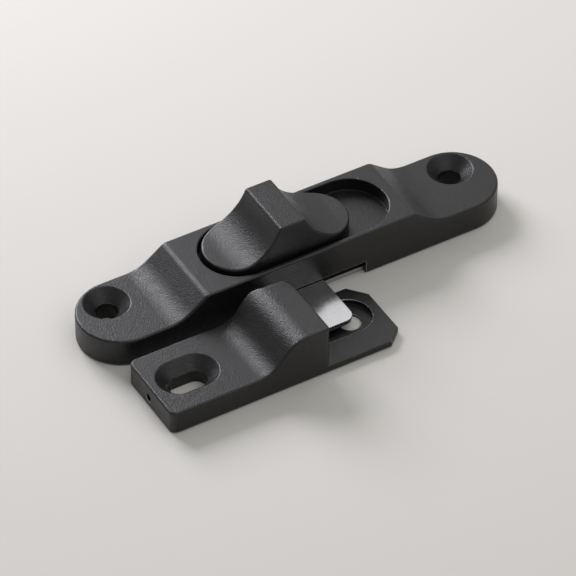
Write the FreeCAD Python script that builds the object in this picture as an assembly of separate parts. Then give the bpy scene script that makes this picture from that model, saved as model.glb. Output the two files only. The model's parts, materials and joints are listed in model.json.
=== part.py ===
"""Sliding window lock: a case whose thumb slider moves a hook bolt, and the keeper that it hooks into.

Units are millimetres. +Z points away from the mounting face, +X runs along the case, and the keeper lies on
the -Y side. The origin is midway between the case's two screw holes, on the mounting face. The pieces are
drawn locked: the slider travels towards +X to pull the hook out of the keeper.
"""

import FreeCAD
import Part
import math
import os

# Fixing screws, which aren't part of the lock
SCREW_HOLE_DIAMETER = 5.0
COUNTERSINK_DIAMETER = 10.2  # mouth of the 90 degree cone that takes a screw's head

# Case, one casting
HOLE_SPACING = 85.0
CASE_WIDTH = 19.4
EAR_THICKNESS = 6.8
EAR_END_RIM = 3.2  # from each countersink to the case's end
EAR_SIDE_RIM = 0.9  # from each countersink to the side of the case away from the keeper
PLATEAU_HEIGHT = 11.5
PLATEAU_MARGIN = 2.2  # from the recess's end to the crest of the nearer shoulder
SHOULDER_SLOPE = 37.0  # degrees
SHOULDER_COVE_RADIUS = 9.0
SHOULDER_CREST_RADIUS = 2.0
CASE_EDGE_RADIUS = 0.5
RIM_RADIUS = 0.25  # broken edge round every opening that is seen from above

# Recess for the slider, and the room for the mechanism below it
RECESS_RIM = 1.2  # width of the plateau on each side of the recess
RECESS_DEPTH = 3.2
RECESS_FLOOR_THICKNESS = 2.0
CASE_WALL = 2.2
CAVITY_END_INSET = 1.5  # from the crest of each shoulder to the cavity's end
CAVITY_CORNER_RADIUS = 2.0
GUIDE_RIB_THICKNESS = 2.0
GUIDE_RIB_OVERHANG = 1.5  # past each end of the stem slot

# Thumb slider, one casting
SLIDER_REST_X = -3.5  # its middle when locked
TRAVEL = 9.0
SLIDER_ARC_SPACING = 18.4  # between the centres of its two round ends
SLIDER_SIDE_GAP = 0.6  # to the recess, at the foot of its drafted sides
SLIDER_DRAFT = 2.0  # degrees
SLIDER_RIM_HEIGHT = 0.8  # of its rim above the plateau
RIDGE_HEIGHT = 7.8  # of the ridge above the rim
RIDGE_WIDTH = 6.2  # of its level top, before the edges are rounded
COVE_RADIUS = 11.5  # of the thumb cove on each side of the ridge
RIDGE_EDGE_RADIUS = 0.8
SLIDER_EDGE_RADIUS = 0.4
SLIDER_FLOOR_GAP = 0.1
SLIDER_END_GAP = 0.1  # to the recess at each end of the travel, over the side gap
STEM_LENGTH = 11.0
STEM_WIDTH = 6.0
STEM_SIDE_GAP = 0.1
STEM_END_GAP = 0.3

# Hook bolt, a stamped steel plate
BOLT_THICKNESS = 1.2
BOLT_FLANGE_GAP = 0.3  # it runs this far above the keeper's flange
BOLT_RUN_GAP = 0.1  # to the guide ribs
TAIL_SHOULDER = 2.4  # the tail is this much wider than the neck at each side
TAIL_REACH = 5.6  # past the case's midline, away from the keeper
TAIL_WALL_GAP = 0.4
NECK_WIDTH = 11.2
NECK_EDGE_OFFSET = 6.15  # from the slider's middle to the neck's free edge
BOLT_REACH = 13.6  # out of the case's wall
FINGER_LENGTH = 8.3  # past the neck, along the case
FINGER_WIDTH = 6.0
BOLT_CORNER_RADIUS = 2.2
BOLT_SMALL_RADIUS = 0.8
NOTCH_TOP_GAP = 0.2  # between the bolt and the top of the case's notch
NOTCH_END_GAP = 1.75

# Screws that hold the bolt to the slider's stem
BOLT_SCREW_DIAMETER = 2.5
BOLT_SCREW_HEAD = 4.4
BOLT_SCREW_SPACING = 6.0
BOLT_SCREW_GRIP = 4.2  # into the stem
THREAD_GAP = 0.03  # all round a screw in its hole

# Back plate, sheet steel, and its screws
PLATE_THICKNESS = 1.0
PLATE_INSET = 0.1  # below the mounting face
PLATE_LEDGE = 1.0  # the case's ledge that the plate lies on
PLATE_EDGE_GAP = 0.1
PLATE_CORNER_RADIUS = 3.0
PLATE_SCREW_DIAMETER = 2.0
PLATE_SCREW_HEAD = 3.6
PLATE_SCREW_GRIP = 3.6  # into the boss
PLATE_SCREW_INSET = 2.0  # from the cavity's walls
BOSS_DIAMETER = 5.0
SCREW_HOLE_RUNOUT = 0.4  # a blind hole is this much deeper than its screw
HEAD_SINK = 0.05  # a countersunk head lies this far below its face
DRIVE_SLOT_WIDTH = 0.4
DRIVE_SLOT_DEPTH = 0.45
DRIVE_SLOT_SHARE = 0.6  # of the head's diameter

# Detents: a ball and a spring on each side of the stem
BALL_DIAMETER = 2.5
BALL_GAP = 0.04
TRACK_WALL = 0.9  # between the stem's slot and each ball's track
TRACK_DEPTH = 0.45
DIMPLE_DEPTH = 0.2  # deeper than the track, at each end of the travel
SPRING_WIRE = 0.36
SPRING_COIL_DIAMETER = 1.9  # to the middle of the wire
SPRING_HEIGHT = 4.4  # between the middles of the wire's ends
SPRING_TURNS = 5
WIRE_SIDES = 8

# Both castings
BACK_EDGE_CHAMFER = 0.4  # round the back

# Keeper, one casting
KEEPER_GAP = 3.4  # between it and the case
KEEPER_WIDTH = 19.0
KEEPER_BODY_LENGTH = 37.95  # from its slotted end to the hump's face
KEEPER_END_THICKNESS = 5.65
KEEPER_CORNER_RADIUS = 1.7
KEEPER_EDGE_RADIUS = 0.5
HOOK_RELEASE = 0.95  # from the finger's end to the hump's face, unlocked
HUMP_HEIGHT = 12.6
HUMP_CREST_OFFSET = 8.25  # from the hump's face to the corner of its shoulder
HUMP_SLOPE = 50.0  # degrees
HUMP_SHOULDER_RADIUS = 6.5  # of the shoulder and of the cove below it
HUMP_FAR_CORNER_RADIUS = 4.0
HUMP_NEAR_CORNER_RADIUS = 1.0
HUMP_FAR_EDGE_RADIUS = 1.8  # along its top, on the side of the case
FLANGE_LENGTH = 18.4  # past the hump's face
FLANGE_THICKNESS = 1.8
FLANGE_EDGE_RADIUS = 0.25
FLANGE_CHAMFER_LENGTH = 3.4
FLANGE_FAR_CHAMFER = 4.0
FLANGE_NEAR_CHAMFER = 3.0
POCKET_DEPTH = 1.2
POCKET_FAR_GAP = 1.5  # beside the finger, towards the case
POCKET_NEAR_GAP = 2.7  # beside the finger, away from the case
KEEPER_HOLE_OFFSET = 11.05  # from the hump's face to the screw hole, where the pocket ends round
KEEPER_HOLE_SHIFT = 0.7  # from the middle of the pocket, away from the case
TUNNEL_END_GAP = 1.45  # past the finger's end, locked
TUNNEL_HEADROOM = 5.1  # above the bolt
TUNNEL_CORNER_RADIUS = 1.5
SLOT_INSET = 8.95  # from the keeper's end to the middle of its slot
SLOT_ADJUSTMENT = 3.9  # between the centres of the slot's round ends

# Headless screw in the keeper's end
SET_SCREW_DIAMETER = 2.0
SET_SCREW_LENGTH = 4.0
SET_SCREW_HEIGHT = 2.5
SET_SCREW_OFFSET = 0.6  # from the middle of the slot, towards the case
SET_SCREW_TIP = 0.5  # into the slot
SET_SCREW_POINT_DIAMETER = 1.0
SET_SCREW_SOCKET = 0.9  # across flats
SET_SCREW_SOCKET_DEPTH = 1.2

# Worked out from the sizes above
COUNTERSINK_DEPTH = (COUNTERSINK_DIAMETER - SCREW_HOLE_DIAMETER) / 2
CASE_LENGTH = HOLE_SPACING + COUNTERSINK_DIAMETER + 2 * EAR_END_RIM
MIDLINE_Y = COUNTERSINK_DIAMETER / 2 + EAR_SIDE_RIM - CASE_WIDTH / 2
CASE_NEAR_Y = MIDLINE_Y - CASE_WIDTH / 2
RECESS_WIDTH = CASE_WIDTH - 2 * RECESS_RIM
RECESS_ARC_SPACING = SLIDER_ARC_SPACING + TRAVEL + 2 * SLIDER_END_GAP
MID_TRAVEL_X = SLIDER_REST_X + TRAVEL / 2
PLATEAU_HALF_LENGTH = abs(MID_TRAVEL_X) + (RECESS_ARC_SPACING + RECESS_WIDTH) / 2 + PLATEAU_MARGIN
RECESS_FLOOR = PLATEAU_HEIGHT - RECESS_DEPTH
CAVITY_ROOF = RECESS_FLOOR - RECESS_FLOOR_THICKNESS
CAVITY_WIDTH = CASE_WIDTH - 2 * CASE_WALL
CAVITY_LENGTH = 2 * (PLATEAU_HALF_LENGTH - CAVITY_END_INSET)
SLIDER_WIDTH = RECESS_WIDTH - 2 * SLIDER_SIDE_GAP
SLIDER_FOOT = RECESS_FLOOR + SLIDER_FLOOR_GAP
SLIDER_RIM = PLATEAU_HEIGHT + SLIDER_RIM_HEIGHT
RIDGE_TOP = SLIDER_RIM + RIDGE_HEIGHT
STEM_SLOT_HALF_WIDTH = STEM_WIDTH / 2 + STEM_SIDE_GAP
BOLT_UNDERSIDE = FLANGE_THICKNESS + BOLT_FLANGE_GAP
BOLT_TOP = BOLT_UNDERSIDE + BOLT_THICKNESS
BOLT_FRONT_Y = CASE_NEAR_Y - BOLT_REACH
NECK_RIGHT = SLIDER_REST_X + NECK_EDGE_OFFSET
NECK_LEFT = NECK_RIGHT - NECK_WIDTH
FINGER_LEFT = NECK_LEFT - FINGER_LENGTH
FINGER_FAR_Y = BOLT_FRONT_Y + FINGER_WIDTH
PLATE_TOP = PLATE_INSET + PLATE_THICKNESS
BORE_RADIUS = BALL_DIAMETER / 2 + BALL_GAP
BALL_OFFSET = STEM_SLOT_HALF_WIDTH + TRACK_WALL + BORE_RADIUS
BALL_Z = RECESS_FLOOR - TRACK_DEPTH + BORE_RADIUS
KEEPER_FAR_Y = CASE_NEAR_Y - KEEPER_GAP
KEEPER_NEAR_Y = KEEPER_FAR_Y - KEEPER_WIDTH
KEEPER_MID_Y = (KEEPER_FAR_Y + KEEPER_NEAR_Y) / 2
HUMP_FACE_X = FINGER_LEFT + TRAVEL - HOOK_RELEASE
KEEPER_LEFT = HUMP_FACE_X - KEEPER_BODY_LENGTH
KEEPER_RIGHT = HUMP_FACE_X + FLANGE_LENGTH
POCKET_FLOOR = FLANGE_THICKNESS - POCKET_DEPTH
POCKET_WIDTH = FINGER_WIDTH + POCKET_FAR_GAP + POCKET_NEAR_GAP
POCKET_Y = FINGER_FAR_Y + POCKET_FAR_GAP - POCKET_WIDTH / 2
KEEPER_HOLE_X = HUMP_FACE_X + KEEPER_HOLE_OFFSET
KEEPER_HOLE_Y = POCKET_Y - KEEPER_HOLE_SHIFT
TUNNEL_ROOF = BOLT_TOP + TUNNEL_HEADROOM
SLOT_X = KEEPER_LEFT + SLOT_INSET
SLOT_LEFT = SLOT_X - (SLOT_ADJUSTMENT + SCREW_HOLE_DIAMETER) / 2
SET_SCREW_Y = KEEPER_MID_Y + SET_SCREW_OFFSET

UP = FreeCAD.Vector(0, 0, 1)
ALONG = FreeCAD.Vector(1, 0, 0)
CUT = 1.0  # how far a cutting tool runs past the face that it opens
ROOT = 0.5  # how far a boss, rib or stem runs into what carries it
NEAR = 1e-3


def vec(x, y, z=0.0):
    return FreeCAD.Vector(x, y, z)


def rounded_wire(corners, radii):
    """Closed wire through the corners, each one rounded by its own radius, or sharp where that is 0."""
    arcs = []
    count = len(corners)
    for i, (corner, radius) in enumerate(zip(corners, radii)):
        back = (corners[i - 1] - corner).normalize()
        ahead = (corners[(i + 1) % count] - corner).normalize()
        if radius == 0:
            arcs.append((corner, None, corner))
            continue
        half_angle = back.getAngle(ahead) / 2
        bisector = (back + ahead).normalize()
        tangent = radius / math.tan(half_angle)
        middle = corner + bisector * (radius / math.sin(half_angle) - radius)
        arcs.append((corner + back * tangent, middle, corner + ahead * tangent))
    edges = []
    for i, (start, middle, end) in enumerate(arcs):
        previous_end = arcs[i - 1][2]
        if previous_end.distanceToPoint(start) > NEAR:
            edges.append(Part.LineSegment(previous_end, start).toShape())
        if middle is not None:
            edges.append(Part.Arc(start, middle, end).toShape())
    return Part.Wire(edges)


def rounded_rectangle(x_low, x_high, y_low, y_high, radius, z):
    corners = [vec(x_low, y_low, z), vec(x_high, y_low, z), vec(x_high, y_high, z), vec(x_low, y_high, z)]
    return rounded_wire(corners, [radius] * 4)


def obround(x, y, spacing, radius, z):
    """Closed wire of two straight sides along X and two half circles, whose centres are spacing apart."""
    if spacing == 0:
        return Part.Wire(Part.makeCircle(radius, vec(x, y, z)))
    left, right = x - spacing / 2, x + spacing / 2
    low, high = y - radius, y + radius
    return Part.Wire(
        [
            Part.LineSegment(vec(left, low, z), vec(right, low, z)).toShape(),
            Part.Arc(vec(right, low, z), vec(right + radius, y, z), vec(right, high, z)).toShape(),
            Part.LineSegment(vec(right, high, z), vec(left, high, z)).toShape(),
            Part.Arc(vec(left, high, z), vec(left - radius, y, z), vec(left, low, z)).toShape(),
        ]
    )


def prism(wire, height):
    return Part.Face(wire).extrude(UP * height)


def cylinder(x, y, diameter, z_low, z_high):
    return Part.makeCylinder(diameter / 2, z_high - z_low, vec(x, y, z_low), UP)


def box(x_low, x_high, y_low, y_high, z_low, z_high):
    return Part.makeBox(x_high - x_low, y_high - y_low, z_high - z_low, vec(x_low, y_low, z_low))


def is_upright(edge):
    first, last = edge.Vertexes[0].Point, edge.Vertexes[-1].Point
    return abs(first.z - last.z) > NEAR and vec(first.x - last.x, first.y - last.y).Length < NEAR


def is_across(edge):
    """True for an edge that runs straight along Y."""
    first, last = edge.Vertexes[0].Point, edge.Vertexes[-1].Point
    return abs(first.y - last.y) > NEAR and abs(first.x - last.x) < NEAR and abs(first.z - last.z) < NEAR


def heights(edge):
    return [point.z for point in edge.discretize(5)]


def seen_edges(shape, outline, z_low, z_high):
    """Edges that lie on the outline, seen from above, between two heights, and aren't upright."""
    flat = outline.copy()
    flat.translate(vec(0, 0, -outline.BoundBox.ZMin))
    found = []
    for edge in shape.Edges:
        if edge.Degenerated or is_upright(edge):
            continue
        if min(heights(edge)) < z_low - NEAR or max(heights(edge)) > z_high + NEAR:
            continue
        if all(Part.Vertex(p.x, p.y, 0).distToShape(flat)[0] < NEAR for p in edge.discretize(5)):
            found.append(edge)
    return found


def back_edges(shape):
    """Edges that lie in the mounting face."""
    return [edge for edge in shape.Edges if not edge.Degenerated and max(map(abs, heights(edge))) < NEAR]


def countersunk_hole(x, y, top, spacing=0):
    """Tool for a fixing screw's hole, or slot, whose 90 degree countersink opens at the top face."""
    radius = SCREW_HOLE_DIAMETER / 2
    through = prism(obround(x, y, spacing, radius, -CUT), top + 2 * CUT)
    narrow = obround(x, y, spacing, radius, top - COUNTERSINK_DEPTH)
    wide = obround(x, y, spacing, radius + COUNTERSINK_DEPTH + CUT, top + CUT)
    return through.fuse(Part.makeLoft([narrow, wide], True, True))


def sink_screw_hole(body, x, y, top, spacing=0):
    """The body with a countersunk hole or slot whose mouth has a broken edge."""
    body = body.cut(countersunk_hole(x, y, top, spacing))
    mouth = obround(x, y, spacing, COUNTERSINK_DIAMETER / 2, top)
    return body.makeFillet(RIM_RADIUS, seen_edges(body, mouth, top, top))


def countersunk_screw(x, y, face, diameter, head, length):
    """Screw that enters from below. Its head's top lies just inside the face, and a cross is cut in it."""
    low = face + HEAD_SINK
    head_height = (head - diameter) / 2
    screw = Part.makeCone(head / 2, diameter / 2, head_height, vec(x, y, low))
    screw = screw.fuse(cylinder(x, y, diameter, low, low + length)).removeSplitter()
    half_slot = head * DRIVE_SLOT_SHARE / 2
    half_width = DRIVE_SLOT_WIDTH / 2
    top = low + DRIVE_SLOT_DEPTH
    screw = screw.cut(box(x - half_slot, x + half_slot, y - half_width, y + half_width, low - CUT, top))
    return screw.cut(box(x - half_width, x + half_width, y - half_slot, y + half_slot, low - CUT, top))


def screw_seat(x, y, face, diameter, head, thickness):
    """Tool for a clearance hole with its countersink, from below, through sheet of one thickness."""
    radius = diameter / 2 + THREAD_GAP
    head_radius = head / 2 + THREAD_GAP
    depth = head_radius - radius
    seat = Part.makeCone(head_radius + CUT, radius, depth + CUT, vec(x, y, face + HEAD_SINK - CUT))
    return seat.fuse(cylinder(x, y, 2 * radius, face - CUT, face + thickness + CUT))


def plate_screw_places():
    x = CAVITY_LENGTH / 2 - PLATE_SCREW_INSET
    y = CAVITY_WIDTH / 2 - PLATE_SCREW_INSET
    return [(side_x * x, MIDLINE_Y + side_y * y) for side_x in (-1, 1) for side_y in (-1, 1)]


def bolt_screw_places():
    return [(SLIDER_REST_X + side * BOLT_SCREW_SPACING / 2, MIDLINE_Y) for side in (-1, 1)]


def detent_places():
    return [(SLIDER_REST_X, MIDLINE_Y + side * BALL_OFFSET) for side in (-1, 1)]


def case_side():
    """Side view of the case: flat ears, a cove up each shoulder and a level top."""
    half = CASE_LENGTH / 2 + CUT
    foot = PLATEAU_HALF_LENGTH + (PLATEAU_HEIGHT - EAR_THICKNESS) / math.tan(math.radians(SHOULDER_SLOPE))
    corners = [
        (-half, 0, 0),
        (half, 0, 0),
        (half, EAR_THICKNESS, 0),
        (foot, EAR_THICKNESS, SHOULDER_COVE_RADIUS),
        (PLATEAU_HALF_LENGTH, PLATEAU_HEIGHT, SHOULDER_CREST_RADIUS),
        (-PLATEAU_HALF_LENGTH, PLATEAU_HEIGHT, SHOULDER_CREST_RADIUS),
        (-foot, EAR_THICKNESS, SHOULDER_COVE_RADIUS),
        (-half, EAR_THICKNESS, 0),
    ]
    y = CASE_NEAR_Y - CUT
    return rounded_wire([vec(x, y, z) for x, z, _ in corners], [radius for _, _, radius in corners])


def case_shell():
    """Outside of the case: its plan is an obround, and its top follows the side view."""
    outline = obround(0, MIDLINE_Y, CASE_LENGTH - CASE_WIDTH, CASE_WIDTH / 2, 0)
    side = Part.Face(case_side()).extrude(vec(0, CASE_WIDTH + 2 * CUT, 0))
    shell = prism(outline, PLATEAU_HEIGHT + CUT).common(side)
    shell = shell.makeFillet(CASE_EDGE_RADIUS, seen_edges(shell, outline, EAR_THICKNESS, PLATEAU_HEIGHT))
    return shell.makeChamfer(BACK_EDGE_CHAMFER, back_edges(shell))


def recess_outline(z):
    return obround(MID_TRAVEL_X, MIDLINE_Y, RECESS_ARC_SPACING, RECESS_WIDTH / 2, z)


def detent_track(x, y):
    """Groove that a ball runs in, with a dimple at each end."""
    groove = Part.makeCylinder(BORE_RADIUS, TRAVEL, vec(x, y, BALL_Z), vec(1, 0, 0))
    for end in (x, x + TRAVEL):
        groove = groove.fuse(Part.makeSphere(BORE_RADIUS, vec(end, y, BALL_Z)))
        groove = groove.fuse(Part.makeSphere(BORE_RADIUS, vec(end, y, BALL_Z - DIMPLE_DEPTH)))
    return groove


def case_cavity():
    """Tool for the room under the recess's floor, with the ledge round it that the back plate lies on."""
    half_length, half_width = CAVITY_LENGTH / 2, CAVITY_WIDTH / 2
    y_low, y_high = MIDLINE_Y - half_width, MIDLINE_Y + half_width
    room = rounded_rectangle(-half_length, half_length, y_low, y_high, CAVITY_CORNER_RADIUS, -CUT)
    ledge = rounded_rectangle(
        -half_length - PLATE_LEDGE,
        half_length + PLATE_LEDGE,
        y_low - PLATE_LEDGE,
        y_high + PLATE_LEDGE,
        PLATE_CORNER_RADIUS,
        -CUT,
    )
    return prism(room, CAVITY_ROOF + CUT).fuse(prism(ledge, PLATE_TOP + CUT))


def guide_and_bosses():
    """Thick rib round the stem's slot, which the bolt runs under, and a boss for each back plate screw."""
    half_length = (STEM_LENGTH + TRAVEL) / 2 + STEM_END_GAP + GUIDE_RIB_OVERHANG
    half_width = STEM_SLOT_HALF_WIDTH + GUIDE_RIB_THICKNESS
    x_low, x_high = MID_TRAVEL_X - half_length, MID_TRAVEL_X + half_length
    y_low, y_high = MIDLINE_Y - half_width, MIDLINE_Y + half_width
    root = CAVITY_ROOF + ROOT
    added = box(x_low, x_high, y_low, y_high, BOLT_TOP + BOLT_RUN_GAP, root)
    for x, y in plate_screw_places():
        added = added.fuse(cylinder(x, y, BOSS_DIAMETER, PLATE_TOP, root))
    return added


def stem_slot():
    half_length = (STEM_LENGTH + TRAVEL) / 2 + STEM_END_GAP
    x_low, x_high = MID_TRAVEL_X - half_length, MID_TRAVEL_X + half_length
    y_low, y_high = MIDLINE_Y - STEM_SLOT_HALF_WIDTH, MIDLINE_Y + STEM_SLOT_HALF_WIDTH
    return box(x_low, x_high, y_low, y_high, BOLT_UNDERSIDE, PLATEAU_HEIGHT)


def bolt_notch():
    """Tool for the opening in the case's side that the bolt's neck comes out of, over its whole travel."""
    x_low, x_high = NECK_LEFT - NOTCH_END_GAP, NECK_RIGHT + TRAVEL + NOTCH_END_GAP
    inside = MIDLINE_Y - CAVITY_WIDTH / 2 + NEAR
    return box(x_low, x_high, CASE_NEAR_Y - CUT, inside, -CUT, BOLT_TOP + NOTCH_TOP_GAP)


def make_case():
    case = case_shell().cut(prism(recess_outline(RECESS_FLOOR), RECESS_DEPTH + CUT))
    rim = seen_edges(case, recess_outline(PLATEAU_HEIGHT), PLATEAU_HEIGHT, PLATEAU_HEIGHT)
    case = case.makeFillet(RIM_RADIUS, rim)
    case = case.cut(case_cavity()).fuse(guide_and_bosses()).cut(stem_slot()).cut(bolt_notch())
    hole_top = PLATE_TOP + PLATE_SCREW_GRIP + SCREW_HOLE_RUNOUT
    for x, y in plate_screw_places():
        case = case.cut(cylinder(x, y, PLATE_SCREW_DIAMETER + 2 * THREAD_GAP, PLATE_TOP - CUT, hole_top))
    for x, y in detent_places():
        case = case.cut(detent_track(x, y))
    for x in (-HOLE_SPACING / 2, HOLE_SPACING / 2):
        case = sink_screw_hole(case, x, 0, EAR_THICKNESS)
    return case.removeSplitter()


def make_back_plate():
    margin = PLATE_LEDGE - PLATE_EDGE_GAP
    half_length = CAVITY_LENGTH / 2 + margin
    half_width = CAVITY_WIDTH / 2 + margin
    y_low, y_high = MIDLINE_Y - half_width, MIDLINE_Y + half_width
    radius = PLATE_CORNER_RADIUS - PLATE_EDGE_GAP
    outline = rounded_rectangle(-half_length, half_length, y_low, y_high, radius, PLATE_INSET)
    plate = prism(outline, PLATE_THICKNESS)
    for x, y in plate_screw_places():
        seat = screw_seat(x, y, PLATE_INSET, PLATE_SCREW_DIAMETER, PLATE_SCREW_HEAD, PLATE_THICKNESS)
        plate = plate.cut(seat)
    return plate


def slider_side():
    """Side view of the slider: level rims, a thumb cove on each side and a level ridge between them.

    Each cove is an arc that leaves the rim level and climbs to the ridge's edge.
    """
    drop = COVE_RADIUS - RIDGE_HEIGHT  # from each cove's centre down to the ridge's top
    edge_x = RIDGE_WIDTH / 2
    cove_x = edge_x + math.sqrt(COVE_RADIUS**2 - drop**2)
    mid_angle = (math.pi / 2 + math.atan2(drop, cove_x - edge_x)) / 2
    mid_x = cove_x - COVE_RADIUS * math.cos(mid_angle)
    mid_z = SLIDER_RIM + COVE_RADIUS * (1 - math.sin(mid_angle))
    reach = (SLIDER_ARC_SPACING + SLIDER_WIDTH) / 2 + CUT
    y = MIDLINE_Y - SLIDER_WIDTH / 2 - CUT

    def at(x, z):
        return vec(SLIDER_REST_X + x, y, z)

    return Part.Wire(
        [
            Part.LineSegment(at(-reach, SLIDER_FOOT), at(reach, SLIDER_FOOT)).toShape(),
            Part.LineSegment(at(reach, SLIDER_FOOT), at(reach, SLIDER_RIM)).toShape(),
            Part.LineSegment(at(reach, SLIDER_RIM), at(cove_x, SLIDER_RIM)).toShape(),
            Part.Arc(at(cove_x, SLIDER_RIM), at(mid_x, mid_z), at(edge_x, RIDGE_TOP)).toShape(),
            Part.LineSegment(at(edge_x, RIDGE_TOP), at(-edge_x, RIDGE_TOP)).toShape(),
            Part.Arc(at(-edge_x, RIDGE_TOP), at(-mid_x, mid_z), at(-cove_x, SLIDER_RIM)).toShape(),
            Part.LineSegment(at(-cove_x, SLIDER_RIM), at(-reach, SLIDER_RIM)).toShape(),
            Part.LineSegment(at(-reach, SLIDER_RIM), at(-reach, SLIDER_FOOT)).toShape(),
        ]
    )


def slider_head():
    """The part that the thumb moves: a drafted obround that the side view cuts into coves and a ridge."""
    top = RIDGE_TOP + CUT
    draft = (top - SLIDER_FOOT) * math.tan(math.radians(SLIDER_DRAFT))
    foot = obround(SLIDER_REST_X, MIDLINE_Y, SLIDER_ARC_SPACING, SLIDER_WIDTH / 2, SLIDER_FOOT)
    crown = obround(SLIDER_REST_X, MIDLINE_Y, SLIDER_ARC_SPACING, SLIDER_WIDTH / 2 - draft, top)
    side = Part.Face(slider_side()).extrude(vec(0, SLIDER_WIDTH + 2 * CUT, 0))
    head = Part.makeLoft([foot, crown], True, True).common(side)
    crests = [e for e in head.Edges if is_across(e) and min(heights(e)) > RIDGE_TOP - NEAR]
    head = head.makeFillet(RIDGE_EDGE_RADIUS, crests)
    rims = [e for e in head.Edges if not is_across(e) and min(heights(e)) > SLIDER_RIM - NEAR]
    return head.makeFillet(SLIDER_EDGE_RADIUS, rims)


def make_thumb_slider():
    x_low, x_high = SLIDER_REST_X - STEM_LENGTH / 2, SLIDER_REST_X + STEM_LENGTH / 2
    y_low, y_high = MIDLINE_Y - STEM_WIDTH / 2, MIDLINE_Y + STEM_WIDTH / 2
    slider = slider_head().fuse(box(x_low, x_high, y_low, y_high, BOLT_TOP, SLIDER_FOOT + ROOT))
    hole_top = BOLT_TOP + BOLT_SCREW_GRIP + SCREW_HOLE_RUNOUT
    for x, y in bolt_screw_places():
        slider = slider.cut(cylinder(x, y, BOLT_SCREW_DIAMETER + 2 * THREAD_GAP, BOLT_TOP - CUT, hole_top))
    bore_top = spring_low() + SPRING_HEIGHT + SPRING_WIRE / 2
    for x, y in detent_places():
        slider = slider.cut(cylinder(x, y, 2 * BORE_RADIUS, SLIDER_FOOT - CUT, bore_top))
    return slider.removeSplitter()


def make_hook_bolt():
    """Flat hook: a tail under the slider's stem, a neck out of the case, and a finger along it."""
    tail_left, tail_right = NECK_LEFT - TAIL_SHOULDER, NECK_RIGHT + TAIL_SHOULDER
    tail_near = MIDLINE_Y - CAVITY_WIDTH / 2 + TAIL_WALL_GAP
    tail_far = MIDLINE_Y + TAIL_REACH
    corners = [
        (tail_left, tail_far, BOLT_SMALL_RADIUS),
        (tail_left, tail_near, BOLT_SMALL_RADIUS),
        (NECK_LEFT, tail_near, BOLT_SMALL_RADIUS),
        (NECK_LEFT, FINGER_FAR_Y, BOLT_SMALL_RADIUS),
        (FINGER_LEFT, FINGER_FAR_Y, BOLT_SMALL_RADIUS),
        (FINGER_LEFT, BOLT_FRONT_Y, BOLT_CORNER_RADIUS),
        (NECK_RIGHT, BOLT_FRONT_Y, BOLT_CORNER_RADIUS),
        (NECK_RIGHT, tail_near, BOLT_SMALL_RADIUS),
        (tail_right, tail_near, BOLT_SMALL_RADIUS),
        (tail_right, tail_far, BOLT_SMALL_RADIUS),
    ]
    points = [vec(x, y, BOLT_UNDERSIDE) for x, y, _ in corners]
    bolt = prism(rounded_wire(points, [radius for _, _, radius in corners]), BOLT_THICKNESS)
    for x, y in bolt_screw_places():
        seat = screw_seat(x, y, BOLT_UNDERSIDE, BOLT_SCREW_DIAMETER, BOLT_SCREW_HEAD, BOLT_THICKNESS)
        bolt = bolt.cut(seat)
    return bolt


def make_bolt_screw(x, y):
    length = BOLT_THICKNESS - HEAD_SINK + BOLT_SCREW_GRIP
    return countersunk_screw(x, y, BOLT_UNDERSIDE, BOLT_SCREW_DIAMETER, BOLT_SCREW_HEAD, length)


def make_plate_screw(x, y):
    length = PLATE_THICKNESS - HEAD_SINK + PLATE_SCREW_GRIP
    return countersunk_screw(x, y, PLATE_INSET, PLATE_SCREW_DIAMETER, PLATE_SCREW_HEAD, length)


def make_detent_ball(x, y):
    return Part.makeSphere(BALL_DIAMETER / 2, vec(x, y, BALL_Z))


def spring_low():
    """Height of the wire's middle where the spring's lowest turn sits on the ball."""
    return BALL_Z + math.sqrt(((BALL_DIAMETER + SPRING_WIRE) / 2) ** 2 - (SPRING_COIL_DIAMETER / 2) ** 2)


def make_detent_spring(x, y):
    """Open coil of round wire, drawn with WIRE_SIDES flat sides because it lies hidden in its bore."""
    radius = SPRING_COIL_DIAMETER / 2
    helix = Part.makeHelix(SPRING_HEIGHT / SPRING_TURNS, SPRING_HEIGHT, radius)
    section = []
    for side in range(WIRE_SIDES + 1):
        angle = 2 * math.pi * side / WIRE_SIDES
        section.append(vec(radius + SPRING_WIRE / 2 * math.cos(angle), 0, SPRING_WIRE / 2 * math.sin(angle)))
    spring = Part.Wire(helix.Edges).makePipeShell([Part.makePolygon(section)], True, True)
    spring.translate(vec(x, y, spring_low()))
    return spring


def keeper_side():
    """Side view of the keeper's body: a level end, an S-curve up to the hump, and its upright face."""
    slope = math.radians(HUMP_SLOPE)
    rise = HUMP_HEIGHT - KEEPER_END_THICKNESS
    crest = HUMP_FACE_X - HUMP_CREST_OFFSET
    foot = crest - rise / math.tan(slope)
    largest = rise / math.sin(slope) / 2 / math.tan(slope / 2)  # two such arcs use up the whole slope
    radius = min(HUMP_SHOULDER_RADIUS, largest - NEAR)
    left, right = KEEPER_LEFT - CUT, HUMP_FACE_X + CUT
    corners = [
        (left, 0, 0),
        (right, 0, 0),
        (right, HUMP_HEIGHT, 0),
        (crest, HUMP_HEIGHT, radius),
        (foot, KEEPER_END_THICKNESS, radius),
        (left, KEEPER_END_THICKNESS, 0),
    ]
    y = KEEPER_NEAR_Y - CUT
    return rounded_wire([vec(x, y, z) for x, z, _ in corners], [radius for _, _, radius in corners])


def hump_section():
    """Tool with the hump's cross-section, which is rounded along the side of the case."""
    corners = [
        (KEEPER_NEAR_Y - CUT, -CUT, 0),
        (KEEPER_FAR_Y, -CUT, 0),
        (KEEPER_FAR_Y, HUMP_HEIGHT, HUMP_FAR_EDGE_RADIUS),
        (KEEPER_NEAR_Y - CUT, HUMP_HEIGHT, 0),
    ]
    x = KEEPER_LEFT - CUT
    section = rounded_wire([vec(x, y, z) for y, z, _ in corners], [radius for _, _, radius in corners])
    return Part.Face(section).extrude(ALONG * (KEEPER_BODY_LENGTH + 2 * CUT))


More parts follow.
